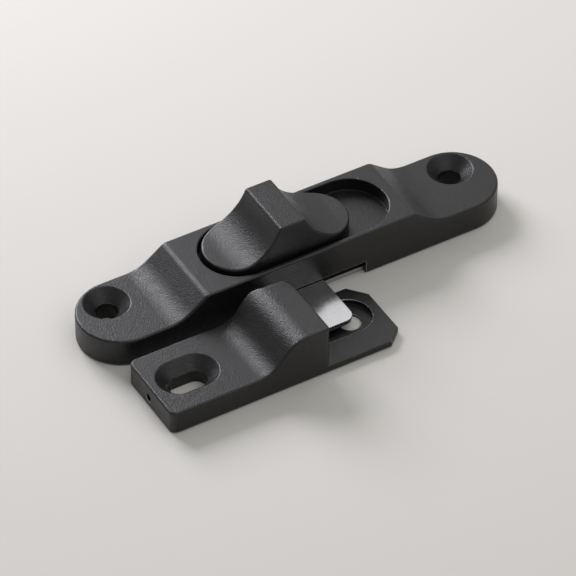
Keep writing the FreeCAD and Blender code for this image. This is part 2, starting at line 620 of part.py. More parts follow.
def keeper_body():
    """The slotted end and the hump, down to the mounting face."""
    corners = [
        (KEEPER_LEFT, KEEPER_NEAR_Y, KEEPER_CORNER_RADIUS),
        (HUMP_FACE_X, KEEPER_NEAR_Y, HUMP_NEAR_CORNER_RADIUS),
        (HUMP_FACE_X, KEEPER_FAR_Y, HUMP_FAR_CORNER_RADIUS),
        (KEEPER_LEFT, KEEPER_FAR_Y, KEEPER_CORNER_RADIUS),
    ]
    outline = rounded_wire([vec(x, y) for x, y, _ in corners], [radius for _, _, radius in corners])
    side = Part.Face(keeper_side()).extrude(vec(0, KEEPER_WIDTH + 2 * CUT, 0))
    body = prism(outline, HUMP_HEIGHT + CUT).common(side)
    body = body.makeFillet(KEEPER_EDGE_RADIUS, seen_edges(body, outline, KEEPER_END_THICKNESS, HUMP_HEIGHT))
    return body.common(hump_section())


def keeper_flange():
    """Thin plate that runs from under the hump to two cut corners."""
    left = HUMP_FACE_X - HUMP_CREST_OFFSET
    cut_x = KEEPER_RIGHT - FLANGE_CHAMFER_LENGTH
    corners = [
        vec(left, KEEPER_NEAR_Y),
        vec(cut_x, KEEPER_NEAR_Y),
        vec(KEEPER_RIGHT, KEEPER_NEAR_Y + FLANGE_NEAR_CHAMFER),
        vec(KEEPER_RIGHT, KEEPER_FAR_Y - FLANGE_FAR_CHAMFER),
        vec(cut_x, KEEPER_FAR_Y),
        vec(left, KEEPER_FAR_Y),
    ]
    outline = rounded_wire(corners, [0] * len(corners))
    flange = prism(outline, FLANGE_THICKNESS)
    rim = seen_edges(flange, outline, FLANGE_THICKNESS, FLANGE_THICKNESS)
    return flange.makeFillet(FLANGE_EDGE_RADIUS, rim)


def keeper_mouth():
    """Tool for the pocket in the flange and for the tunnel that carries it on into the hump."""
    y_low, y_high = POCKET_Y - POCKET_WIDTH / 2, POCKET_Y + POCKET_WIDTH / 2
    end = FINGER_LEFT - TUNNEL_END_GAP
    outline = rounded_rectangle(end, KEEPER_HOLE_X, y_low, y_high, TUNNEL_CORNER_RADIUS, POCKET_FLOOR)
    tunnel = prism(outline, TUNNEL_ROOF - POCKET_FLOOR)
    middle = (HUMP_FACE_X + KEEPER_HOLE_X) / 2
    pocket = obround(middle, POCKET_Y, KEEPER_HOLE_OFFSET, POCKET_WIDTH / 2, POCKET_FLOOR)
    return tunnel.fuse(prism(pocket, POCKET_DEPTH + CUT))


def make_keeper():
    keeper = keeper_body().fuse(keeper_flange()).removeSplitter()
    keeper = keeper.makeChamfer(BACK_EDGE_CHAMFER, back_edges(keeper)).cut(keeper_mouth())
    keeper = keeper.cut(cylinder(KEEPER_HOLE_X, KEEPER_HOLE_Y, SCREW_HOLE_DIAMETER, -CUT, POCKET_FLOOR + CUT))
    keeper = sink_screw_hole(keeper, SLOT_X, KEEPER_MID_Y, KEEPER_END_THICKNESS, SLOT_ADJUSTMENT)
    start = vec(KEEPER_LEFT - CUT, SET_SCREW_Y, SET_SCREW_HEIGHT)
    radius = SET_SCREW_DIAMETER / 2 + THREAD_GAP
    return keeper.cut(Part.makeCylinder(radius, SLOT_INSET + CUT, start, ALONG)).removeSplitter()


def make_keeper_set_screw():
    """Headless screw with a hexagon socket at its outer end. Its tip stands a little way into the slot."""
    radius, point_radius = SET_SCREW_DIAMETER / 2, SET_SCREW_POINT_DIAMETER / 2
    point_length = radius - point_radius
    tip = SLOT_LEFT + SET_SCREW_TIP
    start = vec(tip - SET_SCREW_LENGTH, SET_SCREW_Y, SET_SCREW_HEIGHT)
    shank_length = SET_SCREW_LENGTH - point_length
    shank = Part.makeCylinder(radius, shank_length, start, ALONG)
    point = Part.makeCone(radius, point_radius, point_length, start + ALONG * shank_length, ALONG)
    corner = SET_SCREW_SOCKET / math.sqrt(3)
    hexagon = []
    for side in range(6):
        angle = math.radians(60 * side)
        hexagon.append(start + vec(-CUT, corner * math.cos(angle), corner * math.sin(angle)))
    socket = Part.Face(rounded_wire(hexagon, [0] * 6)).extrude(ALONG * (SET_SCREW_SOCKET_DEPTH + CUT))
    return shank.fuse(point).removeSplitter().cut(socket)


def export(name, shape):
    solids = shape.Solids
    solid = solids[0] if len(solids) == 1 else shape
    print(name, len(solids), "solid", "valid" if shape.isValid() else "NOT VALID", round(shape.Volume, 2))
    solid.exportStep(os.path.join("parts", name + ".step"))


def main():
    os.makedirs("parts", exist_ok=True)
    export("case", make_case())
    export("back_plate", make_back_plate())
    for number, (x, y) in enumerate(plate_screw_places(), 1):
        export(f"back_plate_screw_{number}", make_plate_screw(x, y))
    export("thumb_slider", make_thumb_slider())
    export("hook_bolt", make_hook_bolt())
    for number, (x, y) in enumerate(bolt_screw_places(), 1):
        export(f"bolt_screw_{number}", make_bolt_screw(x, y))
    for number, (x, y) in enumerate(detent_places(), 1):
        export(f"detent_ball_{number}", make_detent_ball(x, y))
        export(f"detent_spring_{number}", make_detent_spring(x, y))
    export("keeper", make_keeper())
    export("keeper_set_screw", make_keeper_set_screw())


main()
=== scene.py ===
# %% [markdown]
# # A sliding window lock, from its solids to its finish
#
# The lock is three castings with a black powder coat, and a bright steel plate that slides out of one
# casting into another. The construction is already there as solids. This notebook gives each surface
# the finish of the real one, adds the small turned and coiled pieces that a solid only stands in for,
# and sets up the light and the camera. Lengths are metres, and the axes are those of the solids: +X
# along the case, +Z away from the surface that the lock is screwed to.

# %% Load the solids
import json
import math

import bpy
import numpy as np
from mathutils import Matrix, Vector


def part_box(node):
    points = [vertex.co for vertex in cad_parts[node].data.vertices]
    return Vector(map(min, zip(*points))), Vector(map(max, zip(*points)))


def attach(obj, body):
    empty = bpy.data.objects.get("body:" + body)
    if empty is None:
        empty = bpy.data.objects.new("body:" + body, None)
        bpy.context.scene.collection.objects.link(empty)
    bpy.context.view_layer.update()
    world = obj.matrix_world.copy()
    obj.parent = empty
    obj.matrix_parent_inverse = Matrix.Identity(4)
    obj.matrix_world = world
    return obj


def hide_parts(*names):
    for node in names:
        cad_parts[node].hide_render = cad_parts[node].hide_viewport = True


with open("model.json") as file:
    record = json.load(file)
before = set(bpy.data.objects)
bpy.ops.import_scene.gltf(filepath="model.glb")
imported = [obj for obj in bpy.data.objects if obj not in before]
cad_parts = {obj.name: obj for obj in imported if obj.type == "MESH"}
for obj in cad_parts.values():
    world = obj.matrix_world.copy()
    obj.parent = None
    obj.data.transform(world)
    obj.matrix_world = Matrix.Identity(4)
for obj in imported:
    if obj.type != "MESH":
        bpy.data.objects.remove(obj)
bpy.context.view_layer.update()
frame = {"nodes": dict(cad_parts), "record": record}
nodes = frame["nodes"]
MM = 0.001

# %% [markdown]
# ## Small helpers for node trees
#
# A finish is a tree of nodes. `add` makes a node and sets what stays constant in the same line, and
# `feed` takes either a wire or a constant to an input, so a tree can be read like a sum.

# %% Helpers for nodes
def add(tree, kind, **values):
    """New node. A value named after an input, with _ for a space, sets it. Others set properties."""
    node = tree.nodes.new(kind)
    for name, value in values.items():
        socket = node.inputs.get(name.replace("_", " "))
        if socket is None:
            setattr(node, name, value)
        else:
            socket.default_value = value
    return node


def feed(tree, target, value):
    """A socket is wired to the target input, and a number or a colour becomes its constant."""
    if isinstance(value, bpy.types.NodeSocket):
        tree.links.new(value, target)
    else:
        target.default_value = value


def math_node(tree, operation, a, b=0.0):
    """Result of one arithmetic step. Each of a and b is a socket or a number."""
    node = add(tree, "ShaderNodeMath", operation=operation)
    feed(tree, node.inputs[0], a)
    feed(tree, node.inputs[1], b)
    return node.outputs[0]


def place_on_object(tree):
    """Where a point lies in its object's own metres, so that a pattern moves with the piece."""
    return add(tree, "ShaderNodeTexCoord").outputs["Object"]


def noise(tree, where, scale, detail):
    """Noise round 0.5, with features of about 1 / scale metres. Scale is a socket or a number."""
    texture = add(tree, "ShaderNodeTexNoise", Detail=detail)
    feed(tree, texture.inputs["Vector"], where)
    feed(tree, texture.inputs["Scale"], scale)
    return texture.outputs["Fac"]


# %% Helpers for groups
def new_group(name, inputs, outputs):
    """Empty group. Inputs are numbers with their usual values, and outputs are names with kinds."""
    group = bpy.data.node_groups.new(name, "ShaderNodeTree")
    for socket_name, usual in inputs.items():
        socket = group.interface.new_socket(socket_name, in_out="INPUT", socket_type="NodeSocketFloat")
        socket.default_value = usual
    for socket_name, kind in outputs.items():
        group.interface.new_socket(socket_name, in_out="OUTPUT", socket_type=f"NodeSocket{kind}")
    return group, add(group, "NodeGroupInput"), add(group, "NodeGroupOutput")


def use_group(tree, group, **values):
    return add(tree, "ShaderNodeGroup", node_tree=group, **values)


# %% [markdown]
# ## Grain
#
# Powder coat is sprayed as dry dust and baked until it flows, so it keeps a fine pebbled skin: bumps a
# quarter of a millimetre across, with a slower swell under them. In a highlight each bump catches the
# light by itself, and this is what makes the bright bands of this lock look sandy. The same group
# serves the steels, with a much shallower grain. It gives a height for a Bump node, and a mottle near
# 1 that roughness and colour can follow.

# %% The grain group
FINE_DETAIL, SWELL_DETAIL = 1.5, 1.0
MOTTLE_GAIN = 4.0  # brings the product of two noises round 0.5 to about 1


def make_grain_group():
    """Height = fine noise + swell * slow noise, and mottle = gain * fine noise * slow noise."""
    usual = {"Grain Size": 0.25 * MM, "Swell Size": 1.8 * MM, "Swell": 0.35}
    group, given, result = new_group("surface_grain", usual, {"Height": "Float", "Mottle": "Float"})
    where = place_on_object(group)
    fine_scale = math_node(group, "DIVIDE", 1.0, given.outputs["Grain Size"])
    slow_scale = math_node(group, "DIVIDE", 1.0, given.outputs["Swell Size"])
    fine = noise(group, where, fine_scale, FINE_DETAIL)
    slow = noise(group, where, slow_scale, SWELL_DETAIL)
    swell = math_node(group, "MULTIPLY", slow, given.outputs["Swell"])
    feed(group, result.inputs["Height"], math_node(group, "ADD", fine, swell))
    mottle = math_node(group, "MULTIPLY", fine, slow)
    feed(group, result.inputs["Mottle"], math_node(group, "MULTIPLY", mottle, MOTTLE_GAIN))
    return group


GRAIN = make_grain_group()
print("group", GRAIN.name, [item.name for item in GRAIN.interface.items_tree])

# %% [markdown]
# ## Edges
#
# No cast or stamped edge is truly sharp, and the eye knows it by the thin line of light along the
# edge. The solids' edges are sharp where the real radius is only a few tenths of a millimetre, so the
# shading rounds them: the Bevel node averages the normals round a point. Where that normal and the
# plain one part, there is an edge. An edge that stands clear of its surroundings is the one that rubs
# against things, so the coat is thin there, and two noises break it up into a few bare specks.

# %% The edge group
EDGE_SAMPLES = 6
NEAR = 0.8 * MM  # a wall nearer than this shelters the edge
SHELTER_POWER = 6.0  # a higher power leaves the wear to edges that are quite open
SPECKS_PER_METRE, PATCHES_PER_METRE = 2600.0, 190.0
SPECK_DETAIL, PATCH_DETAIL = 2.0, 1.0
COVERED, BARE = 0.022, 0.05  # rubbing at which the metal begins to show, and at which it is bare


def make_edge_group():
    """Worn = smooth step of parting * openness ^ power * wear * specks * patches.

    Parting is 1 - the dot product of the rounded normal and the plain one.
    """
    usual = {"Radius": 0.2 * MM, "Wear": 0.5}
    group, given, result = new_group("soft_edge", usual, {"Normal": "Vector", "Worn": "Float"})
    rounded = add(group, "ShaderNodeBevel", samples=EDGE_SAMPLES)
    feed(group, rounded.inputs["Radius"], given.outputs["Radius"])
    feed(group, result.inputs["Normal"], rounded.outputs["Normal"])
    agreement = add(group, "ShaderNodeVectorMath", operation="DOT_PRODUCT")
    feed(group, agreement.inputs[0], rounded.outputs["Normal"])
    feed(group, agreement.inputs[1], add(group, "ShaderNodeNewGeometry").outputs["Normal"])
    parting = math_node(group, "SUBTRACT", 1.0, agreement.outputs["Value"])
    air = add(group, "ShaderNodeAmbientOcclusion", samples=EDGE_SAMPLES, Distance=NEAR)
    openness = math_node(group, "POWER", air.outputs["AO"], SHELTER_POWER)
    rub = math_node(group, "MULTIPLY", parting, openness)
    rub = math_node(group, "MULTIPLY", rub, given.outputs["Wear"])
    where = place_on_object(group)
    specks = noise(group, where, SPECKS_PER_METRE, SPECK_DETAIL)
    patches = noise(group, where, PATCHES_PER_METRE, PATCH_DETAIL)
    rub = math_node(group, "MULTIPLY", rub, math_node(group, "MULTIPLY", specks, patches))
    worn = add(group, "ShaderNodeMapRange", interpolation_type="SMOOTHSTEP",
               From_Min=COVERED, From_Max=BARE)
    feed(group, worn.inputs["Value"], rub)
    feed(group, result.inputs["Worn"], worn.outputs["Result"])
    return group


SOFT_EDGE = make_edge_group()
print("group", SOFT_EDGE.name, [item.name for item in SOFT_EDGE.interface.items_tree])

# %% [markdown]
# ## Turned rings
#
# The two countersinks of the case are cut after casting, with the casting turned against a cutter, and
# fine rings stay on their cones under the thin coat. A ring's height follows the distance from the
# hole's axis. The two holes lie evenly either side of the middle, so the size of X serves both.

# %% The ring group
def make_ring_group():
    """Height = sine of a full turn * distance from the hole's axis / pitch, and 0 past the reach."""
    usual = {"Hole X": 42.5 * MM, "Reach": 5.1 * MM, "Pitch": 0.34 * MM}
    group, given, result = new_group("turned_rings", usual, {"Height": "Float"})
    axes = add(group, "ShaderNodeSeparateXYZ")
    feed(group, axes.inputs["Vector"], place_on_object(group))
    size_of_x = math_node(group, "ABSOLUTE", axes.outputs["X"])
    x, y = math_node(group, "SUBTRACT", size_of_x, given.outputs["Hole X"]), axes.outputs["Y"]
    square_x, square_y = [math_node(group, "MULTIPLY", side, side) for side in (x, y)]
    distance = math_node(group, "SQRT", math_node(group, "ADD", square_x, square_y))
    inside = math_node(group, "LESS_THAN", distance, given.outputs["Reach"])
    turns = math_node(group, "DIVIDE", distance, given.outputs["Pitch"])
    wave = math_node(group, "SINE", math_node(group, "MULTIPLY", turns, 2 * math.pi))
    feed(group, result.inputs["Height"], math_node(group, "MULTIPLY", wave, inside))
    return group


RINGS = make_ring_group()
print("group", RINGS.name, [item.name for item in RINGS.interface.items_tree])

# %% [markdown]
# ## Rolling lines
#
# Sheet and plate keep faint lines in the direction in which they were rolled. A noise whose X
# coordinate is shrunk runs out into long streaks along X.

# %% The line group
SHRINK_ALONG_X = 0.03
LINE_DETAIL = 2.0


def make_line_group():
    """Height = noise at (shrink * x, y, z), with features one line width across."""
    group, given, result = new_group("rolling_lines", {"Line Width": 0.22 * MM}, {"Height": "Float"})
    stretch = add(group, "ShaderNodeMapping", Scale=(SHRINK_ALONG_X, 1.0, 1.0))
    feed(group, stretch.inputs["Vector"], place_on_object(group))
    scale = math_node(group, "DIVIDE", 1.0, given.outputs["Line Width"])
    feed(group, result.inputs["Height"], noise(group, stretch.outputs["Vector"], scale, LINE_DETAIL))
    return group


LINES = make_line_group()
print("group", LINES.name, [item.name for item in LINES.interface.items_tree])

# %% [markdown]
# ## Materials
#
# Every material starts from one Principled shader. `start_material` makes it with plain values, which
# stay wherever no wire takes their place, and each finish then adds its own wires.

# %% Starting a material
COLOUR_A, COLOUR_B, COLOUR_RESULT = 6, 7, 2  # the Mix node has several sockets of each name
MOTTLE_LOW, MOTTLE_HIGH = 0.55, 1.45  # most of the mottle lies between these


def start_material(name, colour, metallic, roughness):
    material = bpy.data.materials.new(name)
    material.use_nodes = True
    tree = material.node_tree
    shader = tree.nodes["Principled BSDF"]
    shader.inputs["Base Color"].default_value = (*colour, 1.0)
    shader.inputs["Metallic"].default_value = metallic
    shader.inputs["Roughness"].default_value = roughness
    return material, tree, shader


def blend_colours(tree, mask, a, b):
    """Colour a where the mask is 0 and b where it is 1. Each of a and b is a socket or (r, g, b)."""
    mix = add(tree, "ShaderNodeMix", data_type="RGBA")
    feed(tree, mix.inputs["Factor"], mask)
    for place, colour in ((COLOUR_A, a), (COLOUR_B, b)):
        feed(tree, mix.inputs[place], (*colour, 1.0) if isinstance(colour, tuple) else colour)
    return mix.outputs[COLOUR_RESULT]


def vary(tree, mottle, low, high, target):
    """The target goes from low to high as the mottle goes from its low to its high."""
    spread = add(tree, "ShaderNodeMapRange", From_Min=MOTTLE_LOW, From_Max=MOTTLE_HIGH,
                 To_Min=low, To_Max=high)
    feed(tree, spread.inputs["Value"], mottle)
    feed(tree, target, spread.outputs["Result"])


def raise_surface(tree, shader, height, depth, normal):
    """Bump on top of a normal: a height of 1 stands depth metres above a height of 0."""
    bump = add(tree, "ShaderNodeBump", Distance=depth)
    feed(tree, bump.inputs["Height"], height)
    feed(tree, bump.inputs["Normal"], normal)
    feed(tree, shader.inputs["Normal"], bump.outputs["Normal"])


# %% [markdown]
# ### Black powder coat
#
# The coat is nearly black, so almost all that the eye gets from it is gloss: a satin lobe, wide enough
# to turn a soft box into a soft band along each curve. The colour stays low, and both the colour and
# the roughness follow the mottle a little, as the coat does from grain to grain. The rings of the
# countersinks are added to the grain, and the sum is laid on the softened edges. Where an edge is
# worn, bare metal takes the place of the coat.

# %% Powder coat
COAT_ROUGHNESS = 0.31, 0.44
COAT_COLOURS = (0.008, 0.008, 0.0088), (0.005, 0.005, 0.0056)
BARE_METAL = (0.5, 0.49, 0.48)
RING_SHARE = 0.09  # height of the rings against that of the grain
COAT_DEPTH = 0.075 * MM


def make_black_coating():
    material, tree, shader = start_material("black_coating", (0.010, 0.010, 0.0108), 0.0, 0.4)
    grain = use_group(tree, GRAIN, Grain_Size=0.28 * MM, Swell_Size=1.6 * MM, Swell=0.3)
    edge = use_group(tree, SOFT_EDGE, Radius=0.3 * MM, Wear=2.2)
    rings = use_group(tree, RINGS)
    mottle, worn = grain.outputs["Mottle"], edge.outputs["Worn"]
    vary(tree, mottle, *COAT_ROUGHNESS, shader.inputs["Roughness"])
    coat = blend_colours(tree, mottle, *COAT_COLOURS)
    feed(tree, shader.inputs["Base Color"], blend_colours(tree, worn, coat, BARE_METAL))
    feed(tree, shader.inputs["Metallic"], worn)
    ring_height = math_node(tree, "MULTIPLY", rings.outputs["Height"], RING_SHARE)
    height = math_node(tree, "ADD", grain.outputs["Height"], ring_height)
    raise_surface(tree, shader, height, COAT_DEPTH, edge.outputs["Normal"])
    return material


BLACK_COATING = make_black_coating()
print("material", BLACK_COATING.name, "nodes", len(BLACK_COATING.node_tree.nodes))

# %% [markdown]
# ### Bright bolt plate and the other steels
#
# The bolt is cold-rolled plate with bright plating. It mirrors the pale room and the dark side of the
# case behind it, only slightly blurred, and faint rolling lines run along it. The back plate is the
# same sort of sheet with a duller plating. On the small parts the lines only tint the colour, and the
# relief is all grain.

# %% Steels
STEEL_SWELL = 0.8
GRAINS_TO_A_SWELL = 9
DULL, BRIGHT = 0.9, 1.06  # shares of the colour, between which the rolling lines vary it


def make_steel(name, colour, roughness, spread, grain_size, depth, lines=0.0, edge_radius=0.08 * MM):
    """Height = lines * rolling lines + (1 - lines) * grain. Spread is how far the roughness varies."""
    material, tree, shader = start_material(name, colour, 1.0, roughness)
    grain = use_group(tree, GRAIN, Grain_Size=grain_size, Swell_Size=grain_size * GRAINS_TO_A_SWELL,
                      Swell=STEEL_SWELL)
    rolled = use_group(tree, LINES)
    edge = use_group(tree, SOFT_EDGE, Radius=edge_radius, Wear=0.0)
    vary(tree, grain.outputs["Mottle"], roughness - spread, roughness + spread,
         shader.inputs["Roughness"])
    dull, bright = [tuple(share * value for value in colour) for share in (DULL, BRIGHT)]
    feed(tree, shader.inputs["Base Color"], blend_colours(tree, rolled.outputs["Height"], dull, bright))
    line_height = math_node(tree, "MULTIPLY", rolled.outputs["Height"], lines)
    grain_height = math_node(tree, "MULTIPLY", grain.outputs["Height"], 1.0 - lines)
    height = math_node(tree, "ADD", line_height, grain_height)
    raise_surface(tree, shader, height, depth, edge.outputs["Normal"])
    print("material", name, "nodes", len(tree.nodes))
    return material


BOLT_STEEL = make_steel(
    "bolt_steel", (0.66, 0.66, 0.67), roughness=0.17, spread=0.03,
    grain_size=0.9 * MM, depth=0.007 * MM, lines=0.35, edge_radius=0.2 * MM)
PLATED_STEEL = make_steel(
    "plated_steel", (0.50, 0.51, 0.53), roughness=0.36, spread=0.07,
    grain_size=0.5 * MM, depth=0.01 * MM, lines=0.6)
SCREW_STEEL = make_steel(
    "screw_steel", (0.46, 0.46, 0.48), roughness=0.3, spread=0.05,
    grain_size=0.3 * MM, depth=0.003 * MM)
BALL_STEEL = make_steel(
    "ball_steel", (0.72, 0.72, 0.73), roughness=0.08, spread=0.02,
    grain_size=0.4 * MM, depth=0.001 * MM)
SPRING_STEEL = make_steel(
    "spring_steel", (0.40, 0.40, 0.42), roughness=0.3, spread=0.05,
    grain_size=0.2 * MM, depth=0.002 * MM, edge_radius=0.03 * MM)
BLACK_STEEL = make_steel(
    "black_steel", (0.03, 0.03, 0.032), roughness=0.42, spread=0.05,
    grain_size=0.3 * MM, depth=0.003 * MM)

# %% [markdown]
# ## Dress the solids
#
# Each solid keeps its mesh and takes its finish through its material slots.

# %% Give each node its finish
FINISHES = {
    "black_coating": BLACK_COATING,
    "bolt_steel": BOLT_STEEL,
    "plated_steel": PLATED_STEEL,
    "screw_steel": SCREW_STEEL,
    "ball_steel": BALL_STEEL,
    "spring_steel": SPRING_STEEL,
    "black_steel": BLACK_STEEL,
}
for subpart in frame["record"]["subparts"]:
    for slot in nodes[subpart["node"]].material_slots:
        slot.material = FINISHES[subpart["material_slot"]]
    print(subpart["node"], "gets", subpart["material_slot"])

# %% [markdown]
# ## Small turned and coiled pieces
#
# A solid can stand in for a screw or a spring, but not for its thread or its round wire. These pieces
# are drawn again as surfaces, each one a function of two parameters that is worked out on a whole grid
# at once. Each stays inside the box of the solid that it replaces, and takes its place and size from
# that box.

# %% A mesh from a grid of points
SHARP_ANGLE = math.radians(40)


def grid_mesh(name, points, material, turned_inward=False):
    """Closed tube through rings of points, an array (rings, points in a ring, 3), with flat caps.

    The faces point outwards where each ring runs anticlockwise, seen from the next ring. Where the
    rings run the other way, turned_inward turns the faces round.
    """
    rings, around = points.shape[:2]
    index = np.arange(rings * around).reshape(rings, around)
    index = np.concatenate([index, index[:, :1]], axis=1)
    corners = [index[:-1, :-1], index[:-1, 1:], index[1:, 1:], index[1:, :-1]]
    quads = np.stack(corners, axis=-1).reshape(-1, 4)
    faces = quads.tolist() + [index[0, -2::-1].tolist(), index[-1, :-1].tolist()]
    if turned_inward:
        faces = [face[::-1] for face in faces]
    mesh = bpy.data.meshes.new(name)
    mesh.from_pydata(points.reshape(-1, 3).tolist(), [], faces)
    mesh.materials.append(material)
    mesh.shade_smooth()
    mesh.set_sharp_from_angle(angle=SHARP_ANGLE)
    piece = bpy.data.objects.new(name, mesh)
    bpy.context.scene.collection.objects.link(piece)
    return piece


def stand_for(piece, node_name, body):
    """The piece takes the solid's place and rides on its body, and the solid is hidden."""
    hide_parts(node_name)
    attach(piece, body)
    low, high = np.array(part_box(node_name))
    print(node_name, "box mm", np.round((high - low) / MM, 2), "faces", len(piece.data.polygons))


# %% [markdown]
# ### Detent springs
#
# A detent spring is coiled from drawn wire, and its end turns are closed so that they sit flat on the
# ball and in the bore. The wire's middle goes round at a steady rate while it climbs slowly over the
# end turns and quickly in between. A circle carried along that line is the wire.

# %% Springs
WIRE_DIAMETER = 0.36 * MM
SPRING_TURNS, CLOSED_TURNS = 6.0, 0.9
STEPS_PER_TURN, WIRE_SIDES = 40, 14
SMOOTHED_STEPS = 12  # on each side of a step, so that the climb starts and ends gently


def spring_points(low, high):
    """Ring after ring of (reach * cos turn, reach * sin turn, climb + wire radius * sin around).

    Reach = coil radius + wire radius * cos around, and the climb follows the turn.
    """
    middle = (low + high) / 2
    wire_radius = WIRE_DIAMETER / 2
    coil_radius = (high[0] - low[0] - WIRE_DIAMETER) / 2
    rise = high[2] - low[2] - WIRE_DIAMETER
    closed = CLOSED_TURNS * WIRE_DIAMETER
    turn = np.linspace(0, SPRING_TURNS, int(SPRING_TURNS * STEPS_PER_TURN) + 1)
    bends = [0, CLOSED_TURNS, SPRING_TURNS - CLOSED_TURNS, SPRING_TURNS]
    climb = np.interp(turn, bends, [0, closed, rise - closed, rise])
    window = 2 * SMOOTHED_STEPS + 1
    climb = np.pad(climb, SMOOTHED_STEPS, mode="reflect", reflect_type="odd")
    climb = np.clip(np.convolve(climb, np.ones(window) / window, mode="valid"), 0, rise)
    around = np.linspace(0, 2 * math.pi, WIRE_SIDES, endpoint=False)
    angle = 2 * math.pi * turn[:, None]
    reach = coil_radius + wire_radius * np.cos(around)[None, :]
    x = middle[0] + reach * np.cos(angle)
    y = middle[1] + reach * np.sin(angle)
    z = low[2] + wire_radius + climb[:, None] + wire_radius * np.sin(around)[None, :]
    return np.stack([x, y, z], axis=-1)


for number in (1, 2):
    node_name = f"detent_spring_{number}"
    wire = spring_points(*np.array(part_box(node_name)))
    coil = grid_mesh(f"wire_spring_{number}", wire, SPRING_STEEL, turned_inward=True)
    stand_for(coil, node_name, "carriage")

# %% [markdown]
# ### Screws
#
# A screw is turned, so it is a profile carried round an axis. Two things break the roundness. The
# thread lowers the shank by a triangle wave that shifts by one pitch in each turn, and the driver's
# recess presses the middle of the head in. Both are functions of the same two parameters, the place
# along the profile and the angle, so one grid holds the whole screw.

# %% Thread and recesses
THREAD_SHARE = 0.6  # depth of the thread against its pitch


def thread_depth(z, angle, start, end, pitch):
    """Triangle wave of z / pitch - angle / turn, which fades in and out over one pitch at each end."""
    wave = 2 * np.abs((z / pitch - angle / (2 * math.pi)) % 1.0 - 0.5)
    fade = np.clip((z - start) / pitch, 0, 1) * np.clip((end - z) / pitch, 0, 1)
    return THREAD_SHARE * pitch * fade * wave


def cross_recess(x, y, size):
    """1 inside the four arms of a cross, 0 outside, with sloping walls. Size is the length of an arm.

    Two opposite arms are the lesser of a ramp across them and a ramp along them, and the cross is the
    greater of the two pairs. It grows shallower away from its middle.
    """
    half_width, wall, loss = 0.22 * size, 0.1 * size, 0.55
    along_x = np.minimum((half_width - np.abs(y)) / wall, (size - np.abs(x)) / wall)
    along_y = np.minimum((half_width - np.abs(x)) / wall, (size - np.abs(y)) / wall)
    taper = 1 - loss * np.hypot(x, y) / size
    return np.clip(np.maximum(along_x, along_y), 0, 1) * taper


def hexagon_recess(x, y, size):
    """1 inside a hexagon, 0 outside. Size is half the distance across its flats.

    The greatest of the distances along the three directions across the flats is taken from the size.
    """
    across_flats = np.radians([0, 60, 120])[:, None, None]
    wall = 0.08 * size
    reach = np.abs(x * np.cos(across_flats) + y * np.sin(across_flats)).max(axis=0)
    return np.clip((size - reach) / wall, 0, 1)


# %% Screw surface
SCREW_SIDES = 72
FACE_STEPS, STEPS_PER_PITCH, FEWEST_STEPS = 30, 8, 2
POLE = 0.01 * MM  # radius at which a profile ends, where a small flat cap closes it


def screw_points(profile, shank, pitch, recess, recess_size, recess_depth):
    """Rings from the middle of the head's face to the tip, along +Z from the face's middle.

    A point is (r * cos angle, r * sin angle, z), where r is the profile's radius less the thread's
    depth, and z is the profile's z plus the recess's depth on the face. The profile is a list of
    (radius, z) corners, and each run between two corners is divided evenly. The face, which comes
    first, is divided most finely, because the recess lies in it. Shank is where the thread starts and
    ends.
    """
    angle = np.linspace(0, 2 * math.pi, SCREW_SIDES, endpoint=False)[None, :]
    lengths = [math.dist(a, b) for a, b in zip(profile, profile[1:])]
    step = pitch / STEPS_PER_PITCH
    steps = [FACE_STEPS] + [max(FEWEST_STEPS, int(length / step)) for length in lengths[1:]]
    runs = [np.linspace(a, b, n, endpoint=False) for a, b, n in zip(profile, profile[1:], steps)]
    radius, z = np.concatenate(runs + [np.array([profile[-1]])]).T
    radius, z = radius[:, None], z[:, None]
    radius = radius - thread_depth(z, angle, *shank, pitch)
    x, y = radius * np.cos(angle), radius * np.sin(angle)
    on_face = np.arange(len(z))[:, None] < FACE_STEPS
    z = z + np.where(on_face, recess_depth * recess(x, y, recess_size), 0.0)
    return np.stack([x, y, z], axis=-1)


# %% Screws with a cross recess, whose heads face down
HEAD_RIM = 0.08 * MM
POINT_SHARE = 0.35  # length of the point against the shank's radius
CROSS_REACH, CROSS_DEPTH = 0.62, 0.5  # against the head's radius, and against its height


def cross_screw(name, node_name, shank_radius, pitch, body):
    low, high = np.array(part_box(node_name))
    head_radius = (high[0] - low[0]) / 2
    length = high[2] - low[2]
    head_height = head_radius - shank_radius
    point = POINT_SHARE * shank_radius
    profile = [
        (POLE, 0.0),
        (head_radius - HEAD_RIM, 0.0),
        (head_radius, HEAD_RIM),
        (shank_radius, HEAD_RIM + head_height),
        (shank_radius, length - point),
        (shank_radius - point, length),
        (POLE, length),
    ]
    points = screw_points(profile, (HEAD_RIM + head_height, length - point / 2), pitch,
                          cross_recess, CROSS_REACH * head_radius, CROSS_DEPTH * head_height)
    points += np.array([(low[0] + high[0]) / 2, (low[1] + high[1]) / 2, low[2]])
    screw = grid_mesh(name, points, SCREW_STEEL)
    stand_for(screw, node_name, body)


for number in (1, 2, 3, 4):
    cross_screw(f"plate_screw_{number}", f"back_plate_screw_{number}",
                shank_radius=1.0 * MM, pitch=0.4 * MM, body="base")
for number in (1, 2):
    cross_screw(f"threaded_bolt_screw_{number}", f"bolt_screw_{number}",
                shank_radius=1.25 * MM, pitch=0.45 * MM, body="carriage")

# %% [markdown]
# ### Keeper's set screw
#
# The set screw has no head. It lies along X in the end of the keeper, with a hexagon socket towards
# the outside and a cone point towards the slot.

# %% Set screw
SOCKET_RIM = 0.12 * MM
SOCKET_SIZE, SOCKET_DEPTH = 0.45 * MM, 1.2 * MM


